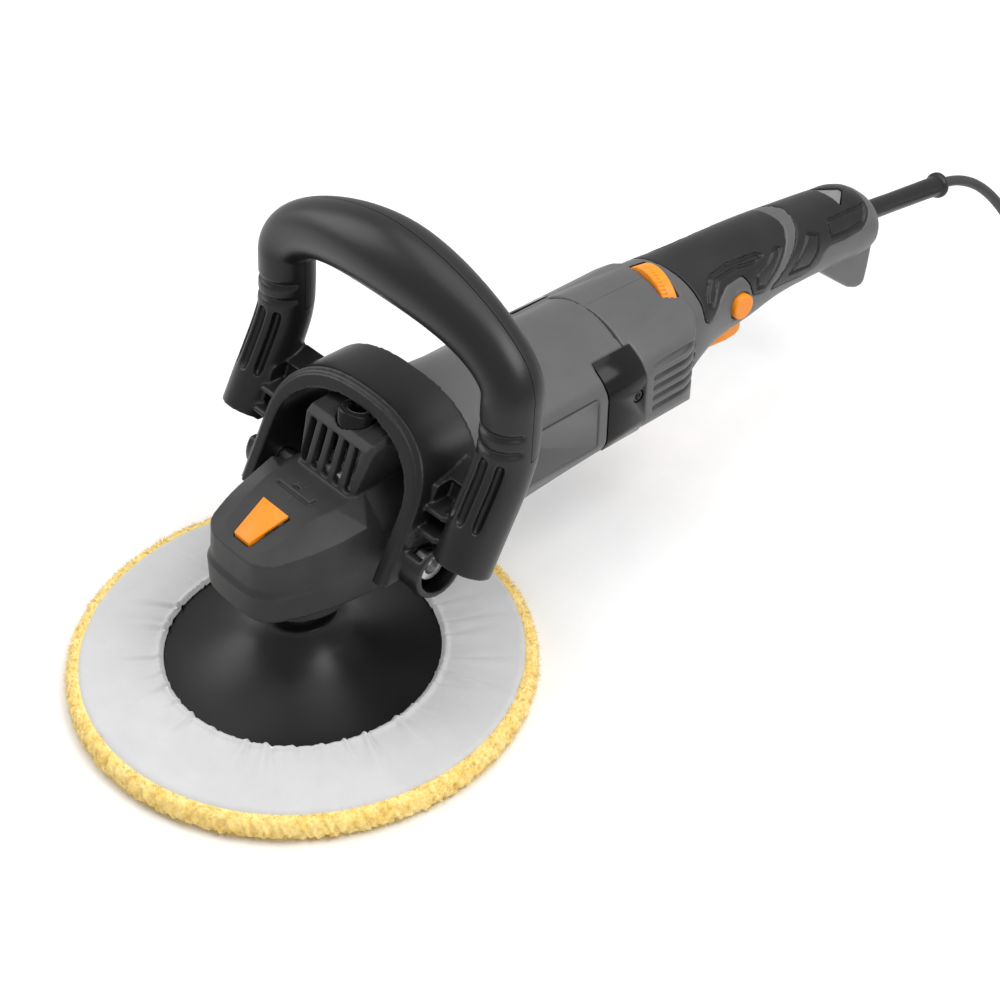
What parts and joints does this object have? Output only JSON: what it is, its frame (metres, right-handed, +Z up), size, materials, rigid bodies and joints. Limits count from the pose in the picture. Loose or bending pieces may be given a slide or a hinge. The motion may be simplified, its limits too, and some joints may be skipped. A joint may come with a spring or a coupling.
{
  "type": "rotary polisher",
  "caption": "Corded rotary polisher with a wool bonnet on a round backing pad, a bail handle over the gear head, a trigger handle and a speed dial.",
  "frame": {"origin": "on the spindle axis, at the wool's working face", "axes": "+Z up along the spindle, +Y from the gear head to the rear handle and cord, +X to the side of the lock-on button"},
  "size_m": [0.2916, 0.7056, 0.2042],
  "materials": {
    "steel": "machined",
    "gear_steel": "dark, oiled",
    "spring_steel": "drawn wire",
    "aluminium": "cast",
    "zinc": "plated",
    "brass": "stamped",
    "copper": "enamelled copper wire",
    "laminations": "laminated sheet",
    "carbon": "pressed carbon",
    "pad_rubber": "satin moulded",
    "foam": "hook facing",
    "skirt": "woven backing cloth",
    "drawstring": "braided",
    "wool": "cut wool pile",
    "cover": "fine grain",
    "black": "satin",
    "black_gloss": "gloss",
    "orange": "satin",
    "grey": "fine satin",
    "panel": "label film",
    "fan_plastic": "moulded",
    "rubber": "textured over-moulding",
    "clear": "clear moulded",
    "handle": "satin",
    "handle_soft": "soft over-moulding",
    "cord": "rubber sheath"
  },
  "bodies": {
    "machine": {"gear_case": "aluminium", "bearing_plate": "aluminium", "lower_bearing": "steel", "upper_bearing": "steel", "head_cover": "cover", "handle_socket": "black_gloss", "lock_spring": "spring_steel", "front_motor_bearing": "steel", "rear_motor_bearing": "steel", "stator_core": "laminations", "field_coil": "copper", "brush_holder_right": "brass", "brush_holder_left": "brass", "carbon_brush_right": "carbon", "carbon_brush_left": "carbon", "motor_housing": "grey", "side_panel_right": "panel", "side_panel_left": "panel", "brush_cover_right": "black", "brush_cover_left": "black", "cover_screw_right": "steel", "cover_screw_left": "steel", "housing_half_right": "grey", "housing_half_left": "grey", "front_grip": "rubber", "rear_grip": "rubber", "speed_module": "black", "trigger_pin": "steel", "switch_body": "black", "trigger_spring": "spring_steel", "power_light": "clear", "strain_relief": "black", "cable_clamp": "black", "power_cord": "cord", "cord_coil": "cord", "cord_tail": "cord", "plug": "black", "d_handle": "handle", "handle_bolt_right": "steel", "handle_bolt_left": "steel", "d_handle_back": "handle_soft"},
    "pad_group": {"spindle": "steel", "crown_gear": "gear_steel", "pad_insert": "zinc", "backing_pad": "pad_rubber", "foam_disc": "foam", "bonnet_skirt": "skirt", "hem_drawstring": "drawstring", "wool_pile": "wool"},
    "rotor": {"rotor_shaft": "steel", "pinion": "gear_steel", "fan": "fan_plastic", "rotor_core": "laminations", "rotor_winding": "copper", "commutator": "copper"},
    "spindle_lock": {"lock_button": "orange", "lock_pin": "steel"},
    "dial": {"speed_dial": "orange"},
    "trigger_lever": {"trigger": "orange"},
    "lock_on": {"lock_on_button": "orange"}
  },
  "joints": [
    {"name": "spindle_spin", "type": "hinge", "parent": "machine", "child": "pad_group", "pos_m": [0, 0, 0.05], "axis": [0, 0, 1], "continuous": true},
    {"name": "rotor_spin", "type": "hinge", "parent": "machine", "child": "rotor", "pos_m": [0, 0.1, 0.0808], "axis": [0, 1, 0], "continuous": true},
    {"name": "spindle_lock_press", "type": "slide", "parent": "machine", "child": "spindle_lock", "axis": [0, 0, -1], "range_m": [0, 0.003], "stiffness_N_per_m": 500, "springref_m": -0.002, "deforming": ["lock_spring"]},
    {"name": "speed_dial_turn", "type": "hinge", "parent": "machine", "child": "dial", "pos_m": [0.0016, 0.2102, 0.0984], "axis": [0.225, 0.9744, 0], "range_deg": [-130, 130]},
    {"name": "trigger_pivot", "type": "hinge", "parent": "machine", "child": "trigger_lever", "pos_m": [0, 0.2315, 0.08], "axis": [1, 0, 0], "range_deg": [0, 5], "stiffness_Nm_per_rad": 2, "springref_deg": -2.86, "deforming": ["trigger_spring"]},
    {"name": "lock_on_press", "type": "slide", "parent": "machine", "child": "lock_on", "axis": [-1, 0, 0], "range_m": [0, 0.003], "stiffness_N_per_m": 400, "springref_m": -0.002}
  ],
  "couplings": [
    {"joint": "rotor_spin", "follows": "spindle_spin", "ratio": 2.6}
  ]
}
